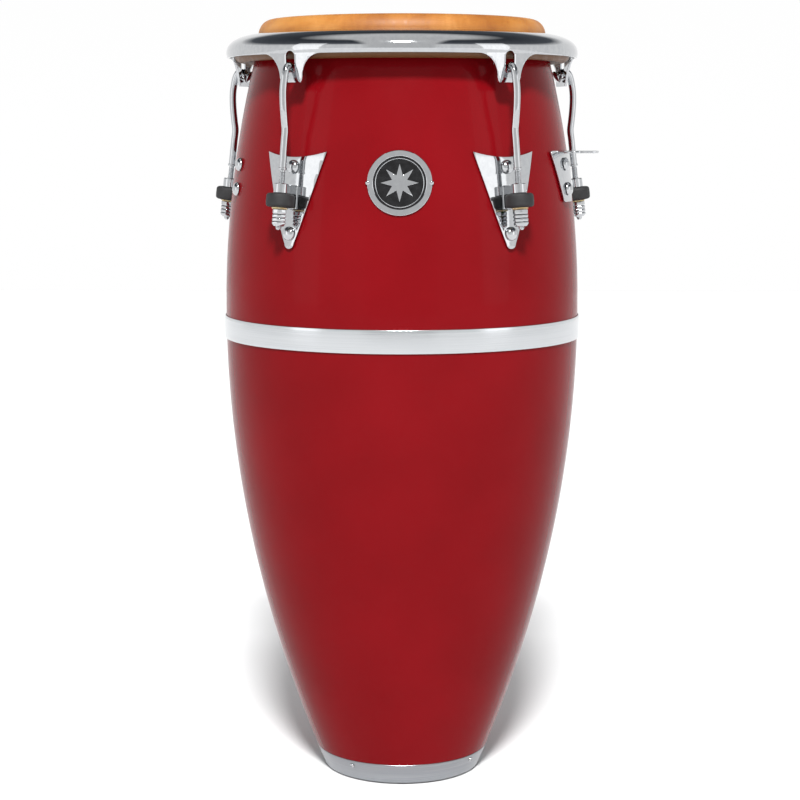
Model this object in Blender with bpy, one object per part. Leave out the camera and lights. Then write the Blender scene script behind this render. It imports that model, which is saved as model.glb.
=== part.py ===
"""A tall barrel-shaped conga drum, standing on its foot with +Z up and its badge facing -Y.

Every lug, plate and bolt is drawn once in a flat lug frame, where local X points straight out
from the drum's axis, and is then turned round the axis to its own place.
"""
import math

import bmesh
import bpy
from mathutils import Matrix, Vector

MM = 0.001
GAP = 0.3 * MM
SIDES = 48

# Shell: two parabolas that meet at the belly
BELLY_RADIUS = 176.8 * MM
BELLY_HEIGHT = 470 * MM
LOWER_CURVE = 0.444
UPPER_CURVE = 0.495
WALL = 11 * MM
SHELL_BOTTOM = 6.3 * MM
EDGE_START = 742.5 * MM
EDGE_CREST_RADIUS = 129 * MM
EDGE_CREST_HEIGHT = 755.5 * MM
EDGE_INNER_RADIUS = 125.5 * MM

# Metal bands
BAND_BOTTOM = 444.8 * MM
BAND_TOP = 467.2 * MM
BAND_THICKNESS = 1.2 * MM
RING_BOTTOM = 1.0 * MM
RING_TOP = 22 * MM
RING_THICKNESS = 1.8 * MM
RING_PROUD = 0.3 * MM
FOOT_INNER_RADIUS = 64 * MM
FOOT_HEIGHT = 6 * MM

# Head and crown
HIDE = 1.8 * MM
HOOP_RADIUS = 158.5 * MM
HOOP_HEIGHT = 723.5 * MM
HOOP_SECTION = 5.5 * MM
RIM_RADIUS = 174 * MM
RIM_LIP = 720.5 * MM
RIM_LEG = (HOOP_HEIGHT + HOOP_SECTION + GAP) / MM
# (radius, height) round the rim's section, in millimetres: lip, rolled top, then the leg on the hoop
RIM_SECTION = (
    (172.9, RIM_LIP / MM), (174.0, 723.2), (173.7, 728.0), (171.0, 733.4), (165.4, 737.8),
    (157.5, 741.0), (149.2, 742.7), (146.7, 741.8), (147.4, 739.8), (153.6, 739.0), (153.7, RIM_LEG),
    (157.2, RIM_LEG), (158.2, 737.3), (166.2, 733.2), (170.4, 727.2), (170.4, RIM_LIP / MM),
)
EAR_BOTTOM = 694 * MM
EAR_HALF_WIDTH = 12.5 * MM
EAR_FILLET_WIDTH = 20.5 * MM
EAR_FILLET_HEIGHT = 22 * MM
EAR_INNER = 170.9 * MM
EAR_OUTER = 173.3 * MM
SLOT_WIDTH = 10.5 * MM
SLOT_BOTTOM = 703 * MM
SLOT_TOP = 723 * MM

# Lugs
LUG_ANGLES = (-36, 36, 108, 180, -108)
ROD_TILT = math.radians(7)
ROD_TOP = 641 * MM
ROD_TOP_RADIUS = 181.8 * MM
ROD = 3.5 * MM
THREAD = 3.0 * MM
ROD_TIP = 558.5 * MM
ROD_SIDES = 8
SHOULDER = 4.1 * MM
# (radius, height, thickness) of the hook's head, then (radius, height) of its bend, in millimetres
HOOK_HEAD = ((162.7, 702.3, 3.2), (163.5, 702.9, 6.0), (165.7, 704.4, 6.2), (166.6, 705.0, 3.5))
HOOK_BEND = (
    (171.5, 708.0), (175.0, 709.0), (178.2, 706.4), (180.2, 702.0), (181.6, 696.0),
    (182.6, 690.0), (183.1, 683.5), (182.8, 672.0), (181.6, 659.0),
)
# (height, radius) along the straight shaft: shank, shoulder, thread and chamfered tip
ROD_STEPS = (
    (650 * MM, ROD), (ROD_TOP, ROD), (616 * MM, ROD), (615.6 * MM, SHOULDER), (613.4 * MM, SHOULDER),
    (613 * MM, THREAD), (ROD_TIP + 1.5 * MM, THREAD), (ROD_TIP, 1.8 * MM),
)
BORE = 3.5 * MM
BOSS_RADIUS = 7 * MM
BOSS_TOP = 601 * MM
BOSS_BOTTOM = 592 * MM
BLOCK_HALF_WIDTH = 7.5 * MM
BLOCK_DROP = 13 * MM
BLOCK_GAP = 0.5 * MM
ARM_HALF_WIDTH = 4.6 * MM
BUMPER_RADIUS = 13.3 * MM
BUMPER_HEIGHT = 12.6 * MM
BUMPER_EDGE = 2.2 * MM
WASHER_RADIUS = 7.6 * MM
WASHER_THICKNESS = 1.2 * MM
NUT_RADIUS = 6.9 * MM
NUT_HEIGHT = 16 * MM

# Side plates and their bolts
PLATE_CLEARANCE = 1.2 * MM
PLATE_THICKNESS = 1.8 * MM
PLATE_TOP = 630 * MM
PLATE_DIP = 5 * MM
PLATE_TIP = 540 * MM
PLATE_HALF_WIDTH = 34.6 * MM
PLATE_TIP_WIDTH = 2.8 * MM
PLATE_BOW = 0.86
BOLT_HEAD = 6.6 * MM
BOLT_DOME = 4.8 * MM
BOLT_NUT = 5.2 * MM
SHELL_SEAT = 0.35 * MM
BOLT_SHANK = 2.9 * MM
BOLT_HOLE = 3.3 * MM
NUT_STANDOFF = 1.3 * MM
UPPER_BOLT = 615.7 * MM
LOWER_BOLT = 554 * MM

# Stand bracket, and the height of the bolts on both sides
BRACKET_ANGLE = 70
BRACKET_HALF_WIDTH = 31 * MM
BRACKET_FOOT_WIDTH = 13 * MM
BRACKET_CORNER = 3 * MM
BRACKET_BOTTOM = 581 * MM
BRACKET_BOLTS = (617 * MM, 593.2 * MM)
TAB_REACH = 199.4 * MM
TAB_STEP = 183.4 * MM
TAB_HALF_WIDTH = 15 * MM
TAB_THICKNESS = 2.4 * MM

# Badge and ring screws
BADGE_HEIGHT = 602 * MM
BADGE_RADIUS = 29.8 * MM
BADGE_CLEARANCE = 0.35 * MM
BADGE_THICKNESS = 1.8 * MM
SCREW_ANGLES = (-35, 55, 145, 235)
SCREW_HEIGHT = 16.4 * MM
SCREW_HEAD = 2.3 * MM
SCREW_SHANK = 1.3 * MM
SCREW_HOLE = 1.65 * MM
SCREW_DEPTH = 7 * MM


def clear_scene():
    for old in list(bpy.data.objects):
        bpy.data.objects.remove(old, do_unlink=True)


def make_material(name, colour, roughness, metallic):
    material = bpy.data.materials.new(name)
    material.use_nodes = True
    shader = material.node_tree.nodes["Principled BSDF"]
    shader.inputs["Base Color"].default_value = (*colour, 1)
    shader.inputs["Roughness"].default_value = roughness
    shader.inputs["Metallic"].default_value = metallic
    material.diffuse_color = (*colour, 1)
    material.roughness = roughness
    material.metallic = metallic
    return material


def shell_radius(height):
    """Outer radius of the wooden shell at a height."""
    rise = height - BELLY_HEIGHT
    curve = UPPER_CURVE if rise > 0 else LOWER_CURVE
    return BELLY_RADIUS - curve * rise * rise


def shell_slope(height):
    """Angle of the shell's outward normal above the horizontal at a height."""
    rise = height - BELLY_HEIGHT
    curve = UPPER_CURVE if rise > 0 else LOWER_CURVE
    return math.atan(2 * curve * rise)


def rod_radius(height):
    """Distance of the straight part of a tension rod from the drum's axis."""
    return ROD_TOP_RADIUS + (ROD_TOP - height) * math.tan(ROD_TILT)


def bearing(angle):
    """Turn about Z that brings a lug frame's X to an angle from the front, in degrees."""
    return math.radians(angle - 90)


def heights(low, high, steps):
    return [low + (high - low) * step / steps for step in range(steps + 1)]


def add_object(name, bm, material, angle=None):
    """Makes a named object of the mesh; an angle turns local X to that bearing from the front."""
    bmesh.ops.remove_doubles(bm, verts=bm.verts, dist=0.005 * MM)
    bmesh.ops.recalc_face_normals(bm, faces=bm.faces)
    mesh = bpy.data.meshes.new(name)
    bm.to_mesh(mesh)
    bm.free()
    mesh.shade_smooth()
    mesh.set_sharp_from_angle(angle=math.radians(35))
    if material:
        mesh.materials.append(material)
    obj = bpy.data.objects.new(name, mesh)
    bpy.context.collection.objects.link(obj)
    if angle is not None:
        obj.rotation_euler.z = bearing(angle)
    return obj


def turned(name, outline, material, sides=SIDES):
    """Turns a closed outline of (radius, height) points round the drum's axis."""
    bm = bmesh.new()
    points = [bm.verts.new((radius, 0, height)) for radius, height in outline]
    edges = [bm.edges.new((a, b)) for a, b in zip(points, points[1:] + points[:1])]
    bmesh.ops.spin(bm, geom=points + edges, axis=(0, 0, 1), cent=(0, 0, 0), angle=math.tau, steps=sides)
    return add_object(name, bm, material)


def add_lathe(bm, outline, frame, sides):
    """Turns an open outline of (radius, height), whose ends lie on the axis, in a frame of its own."""
    rings = []
    for radius, height in outline:
        count = sides if radius > 0 else 1
        ring = []
        for step in range(count):
            turn = math.tau * step / sides
            point = Vector((radius * math.cos(turn), radius * math.sin(turn), height))
            ring.append(bm.verts.new(frame @ point))
        rings.append(ring)
    for low, high in zip(rings, rings[1:]):
        for step in range(sides):
            after = (step + 1) % sides
            corners = [low[step % len(low)], low[after % len(low)]]
            corners += [high[after % len(high)], high[step % len(high)]]
            bm.faces.new(list(dict.fromkeys(corners)))


def outward_frame(height, radius):
    """A frame in the lug's plane whose Z axis is the shell's outward normal at a height."""
    turn = Matrix.Rotation(math.pi / 2 - shell_slope(height), 4, "Y")
    return Matrix.Translation((radius, 0, height)) @ turn


def rod_frame(height):
    """A frame on the tension rod's axis, with its Z axis along the rod and upwards."""
    return Matrix.Translation((rod_radius(height), 0, height)) @ Matrix.Rotation(-ROD_TILT, 4, "Y")


def on_shell(across, height, offset):
    """A point at a distance off the shell, with across measured round the drum."""
    radius = shell_radius(height) + offset
    turn = across / shell_radius(height)
    return (radius * math.cos(turn), radius * math.sin(turn), height)


def hugging_sheet(bm, rows, low, high):
    """A closed sheet that follows the shell, from rows of (across, height) points."""
    inner = [[bm.verts.new(on_shell(a, h, low)) for a, h in row] for row in rows]
    outer = [[bm.verts.new(on_shell(a, h, high)) for a, h in row] for row in rows]
    for skin in (inner, outer):
        for below, above in zip(skin, skin[1:]):
            for step in range(len(below) - 1):
                bm.faces.new((below[step], below[step + 1], above[step + 1], above[step]))
    for inside, outside in ((inner[0], outer[0]), (inner[-1], outer[-1])):
        for step in range(len(inside) - 1):
            bm.faces.new((inside[step], inside[step + 1], outside[step + 1], outside[step]))
    for end in (0, -1):
        for step in range(len(rows) - 1):
            bm.faces.new((inner[step][end], inner[step + 1][end], outer[step + 1][end], outer[step][end]))


def add_box(bm, low, high, frame):
    """A box between two corners of a frame."""
    size = Vector(high) - Vector(low)
    middle = (Vector(high) + Vector(low)) / 2
    place = frame @ Matrix.Translation(middle) @ Matrix.Diagonal((*size, 1))
    bmesh.ops.create_cube(bm, size=1, matrix=place)


def boolean(target, tool, operation):
    """Applies a Boolean and removes its tool."""
    modifier = target.modifiers.new(operation.lower(), "BOOLEAN")
    modifier.operation = operation
    modifier.solver = "EXACT"
    modifier.object = tool
    graph = bpy.context.evaluated_depsgraph_get()
    result = bpy.data.meshes.new_from_object(target.evaluated_get(graph))
    target.modifiers.clear()
    target.data = result
    bpy.data.objects.remove(tool, do_unlink=True)


def keep_cutter(target, cutter):
    """Leaves a hidden cutter working on its target."""
    cutter.hide_render = True
    cutter.display_type = "WIRE"
    modifier = target.modifiers.new(cutter.name, "BOOLEAN")
    modifier.operation = "DIFFERENCE"
    modifier.solver = "EXACT"
    modifier.object = cutter


def copies(name, source, angles):
    """Places one object at every angle, each copy an object of its own, and removes the source."""
    for number, angle in enumerate(angles, 1):
        obj = bpy.data.objects.new(f"{name}_{number}", source.data)
        bpy.context.collection.objects.link(obj)
        obj.rotation_euler.z = bearing(angle)
    bpy.data.objects.remove(source, do_unlink=True)


def edge_arc(offset, steps):
    """The bearing edge's outer rounding at an offset, from the shell's side up to its crest."""
    across = shell_radius(EDGE_START) - EDGE_CREST_RADIUS + offset
    up = EDGE_CREST_HEIGHT - EDGE_START + offset
    points = []
    for step in range(steps + 1):
        turn = math.pi / 2 * step / steps
        points.append((EDGE_CREST_RADIUS + across * math.cos(turn), EDGE_START + up * math.sin(turn)))
    return points


def ring_inside(height):
    """Inner radius of the bottom ring at a height."""
    return shell_radius(height) + RING_PROUD - RING_THICKNESS


def build_shell(material):
    tucked = [(ring_inside(h) - GAP, h) for h in (SHELL_BOTTOM, RING_TOP + GAP)]
    side = [(shell_radius(h), h) for h in heights(RING_TOP + GAP, EDGE_START, 10)[:-1]]
    lugs_end = PLATE_TIP - 10 * MM
    levels = heights(EDGE_START - 6 * MM, lugs_end, 4) + heights(lugs_end, RING_TOP, 4)[1:]
    inside = [(shell_radius(h) - WALL, h) for h in levels]
    outline = tucked + side + edge_arc(0, 3)
    outline += [(EDGE_INNER_RADIUS, EDGE_CREST_HEIGHT - 2 * MM)]
    outline += inside + [(shell_radius(RING_TOP) - WALL, SHELL_BOTTOM)]
    return turned("shell", outline, material)


def build_bands(polished, satin, rubber):
    band_radius = max(shell_radius(BAND_BOTTOM), shell_radius(BAND_TOP)) + GAP
    inner = [(band_radius, height) for height in (BAND_BOTTOM, BAND_TOP)]
    outer = [(radius + BAND_THICKNESS, height) for radius, height in reversed(inner)]
    turned("belly_band", inner + outer, polished)
    wall = heights(RING_BOTTOM, RING_TOP, 1)
    outline = [(shell_radius(h) + RING_PROUD, h) for h in wall]
    outline += [(ring_inside(h), h) for h in reversed(wall)]
    turned("bottom_ring", outline, satin)
    outer_radius = ring_inside(RING_BOTTOM) - GAP
    foot = [(outer_radius, 0), (outer_radius, FOOT_HEIGHT)]
    foot += [(FOOT_INNER_RADIUS, FOOT_HEIGHT), (FOOT_INNER_RADIUS, 0)]
    turned("rubber_foot", foot, rubber)


def hoop_arc(radius, start, end, steps):
    """Points round the flesh hoop's section, with angles in degrees from straight out."""
    points = []
    for step in range(steps + 1):
        turn = math.radians(start + (end - start) * step / steps)
        points.append((HOOP_RADIUS + radius * math.cos(turn), HOOP_HEIGHT + radius * math.sin(turn)))
    return points


def build_head(hide, steel):
    """The hide: a flat crown, rounded over the bearing edge and tucked under the flesh hoop."""
    near = HOOP_SECTION + GAP
    top = edge_arc(GAP + HIDE, 3)
    under = edge_arc(GAP, 3)
    outline = [(0, top[-1][1])] + top[::-1] + hoop_arc(near, 180, 360, 3)
    outline += hoop_arc(near + HIDE, 360, 180, 3) + under + [(0, under[-1][1])]
    turned("drum_head", outline, hide)
    turned("flesh_hoop", hoop_arc(HOOP_SECTION, 0, 300, 5), steel)


def ear_rows():
    """Rows of (across, height) for one ear, from its foot up into the rim's skirt."""
    rows = []
    levels = [(EAR_HALF_WIDTH - 1.2 * MM, EAR_BOTTOM), (EAR_HALF_WIDTH, EAR_BOTTOM + 1.2 * MM)]
    reach = EAR_HALF_WIDTH + 1 * MM + EAR_FILLET_WIDTH
    for turn in (0, 20, 40, 60, 78):
        rise = math.radians(turn)
        half = reach - EAR_FILLET_WIDTH * math.cos(rise)
        levels.append((half, RIM_LIP - EAR_FILLET_HEIGHT * (1 - math.sin(rise))))
    levels.append((reach, RIM_LIP + 2 * MM))
    for half, height in levels:
        rows.append([(half * part, height) for part in (-1, -0.4, 0.4, 1)])
    return rows


def ear_radius(height, base):
    """The ears lean in slightly below the lip."""
    drop = max(0, (RIM_LIP - height) / (RIM_LIP - EAR_BOTTOM))
    return base - 1.4 * MM * drop * drop


def build_ear(name):
    """One closed ear in the lug frame."""
    bm = bmesh.new()
    rows = ear_rows()
    skins = []
    for base in (EAR_INNER, EAR_OUTER):
        skin = []
        for row in rows:
            ring = []
            for across, height in row:
                radius = ear_radius(height, base)
                turn = across / RIM_RADIUS
                ring.append(bm.verts.new((radius * math.cos(turn), radius * math.sin(turn), height)))
            skin.append(ring)
        skins.append(skin)
    inner, outer = skins
    for skin in skins:
        for below, above in zip(skin, skin[1:]):
            for step in range(len(below) - 1):
                bm.faces.new((below[step], below[step + 1], above[step + 1], above[step]))
    for row in (0, -1):
        for step in range(len(rows[0]) - 1):
            bm.faces.new((inner[row][step], inner[row][step + 1], outer[row][step + 1], outer[row][step]))
    for end in (0, -1):
        for step in range(len(rows) - 1):
            bm.faces.new((inner[step][end], inner[step + 1][end], outer[step + 1][end], outer[step][end]))
    return add_object(name, bm, None)


def build_slot(name):
    """A round-topped cutter for the slot that the hook passes through."""
    bm = bmesh.new()
    half = SLOT_WIDTH / 2
    outline = [(-half, SLOT_BOTTOM), (half, SLOT_BOTTOM)]
    for step in range(7):
        turn = math.pi * step / 6
        outline.append((half * math.cos(turn), SLOT_TOP - half + half * math.sin(turn)))
    near = [bm.verts.new((162 * MM, across, height)) for across, height in outline]
    face = bm.faces.new(near)
    moved = bmesh.ops.extrude_face_region(bm, geom=[face])["geom"]
    corners = [item for item in moved if isinstance(item, bmesh.types.BMVert)]
    bmesh.ops.translate(bm, verts=corners, vec=(20 * MM, 0, 0))
    return add_object(name, bm, None)


def build_rim(chrome):
    """The crown: a rolled section with a leg on the flesh hoop, and an ear and slot at every lug."""
    section = [(radius * MM, height * MM) for radius, height in RIM_SECTION]
    rim = turned("rim", section, chrome)
    for operation, build in (("UNION", build_ear), ("DIFFERENCE", build_slot)):
        for angle in LUG_ANGLES:
            tool = build("tool")
            tool.rotation_euler.z = bearing(angle)
            bpy.context.view_layer.update()
            boolean(rim, tool, operation)
    rim.data.set_sharp_from_angle(angle=math.radians(35))


def build_rod(chrome):
    """A tension rod: hook head, bend over the ear, straight shaft, shoulder and threaded end."""
    path = list(HOOK_HEAD) + [(radius, height, ROD / MM) for radius, height in HOOK_BEND]
    path = [tuple(value * MM for value in point) for point in path]
    path += [(rod_radius(height), height, size) for height, size in ROD_STEPS]
    bm = bmesh.new()
    rings = []
    for index, (radius, height, size) in enumerate(path):
        before = path[max(index - 1, 0)]
        after = path[min(index + 1, len(path) - 1)]
        along = Vector((after[0] - before[0], 0, after[1] - before[1])).normalized()
        if index > len(path) - len(ROD_STEPS):
            along = Vector((math.sin(ROD_TILT), 0, -math.cos(ROD_TILT)))
        across = along.cross(Vector((0, 1, 0)))
        ring = []
        for step in range(ROD_SIDES):
            turn = math.tau * (step + 0.5) / ROD_SIDES
            offset = across * math.cos(turn) + Vector((0, 1, 0)) * math.sin(turn)
            ring.append(bm.verts.new(Vector((radius, 0, height)) + offset * size))
        rings.append(ring)
    for near, far in zip(rings, rings[1:]):
        for step in range(ROD_SIDES):
            after = (step + 1) % ROD_SIDES
            bm.faces.new((near[step], near[after], far[after], far[step]))
    bm.faces.new(rings[0])
    bm.faces.new(rings[-1])
    copies("tension_rod", add_object("tension_rod", bm, chrome), LUG_ANGLES)


def plate_rows():
    """Rows of the arrowhead plate: a dipped top edge and bowed sides down to a rounded tip."""
    rows = []
    for level in (0, 0.03, 0.12, 0.3, 0.52, 0.76, 1):
        half = PLATE_TIP_WIDTH + (PLATE_HALF_WIDTH - PLATE_TIP_WIDTH) * level ** PLATE_BOW
        if level == 0:
            half = PLATE_TIP_WIDTH * 0.6
        row = []
        for part in (-1, -0.7, -0.35, 0, 0.35, 0.7, 1):
            top = PLATE_TOP - PLATE_DIP * (1 - part * part)
            row.append((half * part, PLATE_TIP + (top - PLATE_TIP) * level))
        rows.append(row)
    return rows


def bolt_holes(name, bolts, radius, reach_in, reach_out):
    """One cutter with a round hole for each (angle, height) bolt, along the shell's normal."""
    bm = bmesh.new()
    for angle, height in bolts:
        turn = Matrix.Rotation(bearing(angle), 4, "Z")
        frame = turn @ outward_frame(height, shell_radius(height))
        add_lathe(bm, [(0, -reach_in), (radius, -reach_in), (radius, reach_out), (0, reach_out)], frame, 10)
    return add_object(name, bm, None)


def build_side_plate(chrome):
    """The arrowhead plate with its welded bracket, whose boss carries the tension rod."""
    bm = bmesh.new()
    hugging_sheet(bm, plate_rows(), PLATE_CLEARANCE, PLATE_CLEARANCE + PLATE_THICKNESS)
    plate = add_object("side_plate", bm, chrome)
    bm = bmesh.new()
    frame = rod_frame(BOSS_BOTTOM)
    back = rod_radius(BOSS_BOTTOM) - shell_radius(BOSS_BOTTOM) - PLATE_CLEARANCE - 1 * MM
    height = BOSS_TOP - BOSS_BOTTOM
    face = -BUMPER_RADIUS - BLOCK_GAP
    add_box(bm, (-back, -BLOCK_HALF_WIDTH, -BLOCK_DROP), (face, BLOCK_HALF_WIDTH, height), frame)
    bracket = add_object("bracket", bm, chrome)
    bm = bmesh.new()
    inset = 0.3 * MM
    add_box(bm, (-back + 1 * MM, -ARM_HALF_WIDTH, inset), (0, ARM_HALF_WIDTH, height - inset), frame)
    boolean(bracket, add_object("arm", bm, chrome), "UNION")
    bm = bmesh.new()
    add_lathe(bm, [(0, 0), (BOSS_RADIUS, 0), (BOSS_RADIUS, height), (0, height)], frame, 16)
    boolean(bracket, add_object("boss", bm, chrome), "UNION")
    boolean(plate, bracket, "UNION")
    bm = bmesh.new()
    add_lathe(bm, [(0, -9 * MM), (BORE, -9 * MM), (BORE, 20 * MM), (0, 20 * MM)], frame, 12)
    boolean(plate, add_object("bore", bm, None), "DIFFERENCE")
    holes = bolt_holes("holes", [(90, UPPER_BOLT), (90, LOWER_BOLT)], BOLT_HOLE, 2 * MM, 6 * MM)
    boolean(plate, holes, "DIFFERENCE")
    plate.data.set_sharp_from_angle(angle=math.radians(35))
    copies("side_plate", plate, LUG_ANGLES)


def ring_solid(name, outer, inner, low, material, sides):
    """A ring on the tension rod, from (radius, height) outline points and its bore, low on the rod."""
    outline = outer + [(inner, outer[-1][1]), (inner, outer[0][1])]
    bm = bmesh.new()
    points = [bm.verts.new((radius, 0, height)) for radius, height in outline]
    edges = [bm.edges.new((a, b)) for a, b in zip(points, points[1:] + points[:1])]
    bmesh.ops.spin(bm, geom=points + edges, axis=(0, 0, 1), cent=(0, 0, 0), angle=math.tau, steps=sides)
    bmesh.ops.transform(bm, matrix=rod_frame(low), verts=bm.verts)
    return add_object(name, bm, material)


def build_rod_stack(rubber, fibre, chrome):
    """Bumper ring, washer and nut, which hang below the boss on every tension rod."""
    rise = math.cos(ROD_TILT)
    bumper_low = BOSS_BOTTOM - (BUMPER_HEIGHT + GAP) * rise
    soft = BUMPER_EDGE
    outline = [(BUMPER_RADIUS - soft, 0), (BUMPER_RADIUS, soft)]
    outline += [(BUMPER_RADIUS, BUMPER_HEIGHT - soft), (BUMPER_RADIUS - soft, BUMPER_HEIGHT)]
    copies("bumper_ring", ring_solid("bumper", outline, BORE, bumper_low, rubber, 14), LUG_ANGLES)
    washer_low = bumper_low - (WASHER_THICKNESS + GAP) * rise
    outline = [(WASHER_RADIUS, 0), (WASHER_RADIUS, WASHER_THICKNESS)]
    copies("washer", ring_solid("washer", outline, BORE, washer_low, fibre, 12), LUG_ANGLES)
    nut_low = washer_low - (NUT_HEIGHT + GAP) * rise
    outline = [(NUT_RADIUS - 2.2 * MM, 0), (NUT_RADIUS, 2.4 * MM), (NUT_RADIUS, NUT_HEIGHT)]
    copies("lug_nut", ring_solid("nut", outline, THREAD + GAP, nut_low, chrome, 10), LUG_ANGLES)


def build_bolt(name, height, seat, chrome):
    """A dome-headed bolt through the shell, with its nut tightened inside the drum."""
    bm = bmesh.new()
    frame = outward_frame(height, shell_radius(height))
    nut_face = -WALL - NUT_STANDOFF
    outline = [(0, nut_face - 5 * MM), (BOLT_NUT, nut_face - 5 * MM), (BOLT_NUT, nut_face)]
    outline += [(BOLT_SHANK, nut_face), (BOLT_SHANK, seat + GAP), (BOLT_HEAD, seat + GAP)]
    turn = math.radians(35)
    outline.append((BOLT_HEAD * math.cos(turn), seat + GAP + BOLT_DOME * math.sin(turn)))
    outline.append((0, seat + GAP + BOLT_DOME))
    add_lathe(bm, outline, frame, 8)
    return add_object(name, bm, chrome)


def build_bracket(chrome):
    """A plate held by two bolts, tapering downwards, with a stepped tab for a stand's hook."""
    rise = PLATE_TOP - BRACKET_BOTTOM
    rows = []
    for level in (0, BRACKET_CORNER / rise, 0.25, 0.5, 0.75, 1):
        half = BRACKET_FOOT_WIDTH + (BRACKET_HALF_WIDTH - BRACKET_FOOT_WIDTH) * level
        if level == 0:
            half -= BRACKET_CORNER
        rows.append([(half * part, BRACKET_BOTTOM + rise * level) for part in (-1, -0.6, -0.2, 0.2, 0.6, 1)])
    bm = bmesh.new()
    hugging_sheet(bm, rows, PLATE_CLEARANCE, PLATE_CLEARANCE + PLATE_THICKNESS)
    plate = add_object("stand_bracket", bm, chrome)
    near = shell_radius(PLATE_TOP) + PLATE_CLEARANCE + 0.6 * MM
    outline = [(near, -TAB_HALF_WIDTH), (TAB_STEP, -TAB_HALF_WIDTH), (TAB_STEP, 0), (TAB_REACH, 0)]
    outline += [(TAB_REACH, TAB_HALF_WIDTH), (near, TAB_HALF_WIDTH)]
    low = PLATE_TOP - TAB_THICKNESS + 0.4 * MM
    bm = bmesh.new()
    face = bm.faces.new([bm.verts.new((radius, across, low)) for radius, across in outline])
    moved = bmesh.ops.extrude_face_region(bm, geom=[face])["geom"]
    corners = [item for item in moved if isinstance(item, bmesh.types.BMVert)]
    bmesh.ops.translate(bm, verts=corners, vec=(0, 0, TAB_THICKNESS))
    boolean(plate, add_object("tab", bm, chrome), "UNION")
    holes = bolt_holes("holes", [(90, height) for height in BRACKET_BOLTS], BOLT_HOLE, 2 * MM, 4.5 * MM)
    boolean(plate, holes, "DIFFERENCE")
    plate.data.set_sharp_from_angle(angle=math.radians(35))
    plate.rotation_euler.z = bearing(BRACKET_ANGLE)


def build_badge(chrome):
    """A round badge that follows the shell."""
    rows = []
    for turn in range(-80, 81, 16):
        half = BADGE_RADIUS * math.cos(math.radians(turn))
        height = BADGE_HEIGHT + BADGE_RADIUS * math.sin(math.radians(turn))
        rows.append([(half * part, height) for part in (-1, -0.6, -0.2, 0.2, 0.6, 1)])
    bm = bmesh.new()
    hugging_sheet(bm, rows, BADGE_CLEARANCE, BADGE_CLEARANCE + BADGE_THICKNESS)
    add_object("badge", bm, chrome, 0)


def build_ring_screw(chrome):
    """A small screw that holds the bottom ring on the shell."""
    bm = bmesh.new()
    seat = RING_PROUD + GAP
    frame = outward_frame(SCREW_HEIGHT, shell_radius(SCREW_HEIGHT))
    outline = [(0, -SCREW_DEPTH + 1 * MM), (SCREW_SHANK, -SCREW_DEPTH + 1.5 * MM), (SCREW_SHANK, seat)]
    outline += [(SCREW_HEAD, seat), (SCREW_HEAD * 0.75, seat + 0.9 * MM), (0, seat + 1.3 * MM)]
    add_lathe(bm, outline, frame, 8)
    copies("ring_screw", add_object("ring_screw", bm, chrome), SCREW_ANGLES)


def main():
    clear_scene()
    lacquer = make_material("red_lacquer", (0.32, 0.008, 0.011), 0.12, 0.0)
    chrome = make_material("chrome", (0.62, 0.63, 0.64), 0.08, 1.0)
    satin = make_material("satin_aluminium", (0.55, 0.56, 0.57), 0.32, 1.0)
    rubber = make_material("black_rubber", (0.012, 0.012, 0.012), 0.7, 0.0)
    hide = make_material("rawhide", (0.62, 0.30, 0.10), 0.55, 0.0)
    fibre = make_material("fibre", (0.70, 0.60, 0.42), 0.6, 0.0)

    shell = build_shell(lacquer)
    build_bands(chrome, satin, rubber)
    build_head(hide, satin)
    build_rim(chrome)
    build_rod(chrome)
    build_side_plate(chrome)
    build_rod_stack(rubber, fibre, chrome)
    seat = PLATE_CLEARANCE + PLATE_THICKNESS
    copies("bolt_upper", build_bolt("bolt_upper", UPPER_BOLT, seat, chrome), LUG_ANGLES)
    copies("bolt_lower", build_bolt("bolt_lower", LOWER_BOLT, seat, chrome), LUG_ANGLES)
    build_bracket(chrome)
    sides = ((BRACKET_ANGLE, seat), (-BRACKET_ANGLE, SHELL_SEAT))
    for place, height in zip(("upper", "lower"), BRACKET_BOLTS):
        for number, (angle, under) in enumerate(sides, 1):
            bolt = build_bolt(f"bracket_bolt_{place}_{number}", height, under, chrome)
            bolt.rotation_euler.z = bearing(angle)
    build_badge(chrome)
    build_ring_screw(chrome)

    bolts = [(angle, height) for angle in LUG_ANGLES for height in (UPPER_BOLT, LOWER_BOLT)]
    bolts += [(angle, height) for angle in (BRACKET_ANGLE, -BRACKET_ANGLE) for height in BRACKET_BOLTS]
    keep_cutter(shell, bolt_holes("bolt_hole_cutter", bolts, BOLT_HOLE, WALL + 4 * MM, 4 * MM))
    screws = [(angle, SCREW_HEIGHT) for angle in SCREW_ANGLES]
    screw_cutter = bolt_holes("screw_hole_cutter", screws, SCREW_HOLE, SCREW_DEPTH, 2 * MM)
    keep_cutter(shell, screw_cutter)
    keep_cutter(bpy.data.objects["bottom_ring"], screw_cutter)


main()
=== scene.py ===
import bmesh
import bpy
import math
from mathutils import Matrix, Vector


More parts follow.
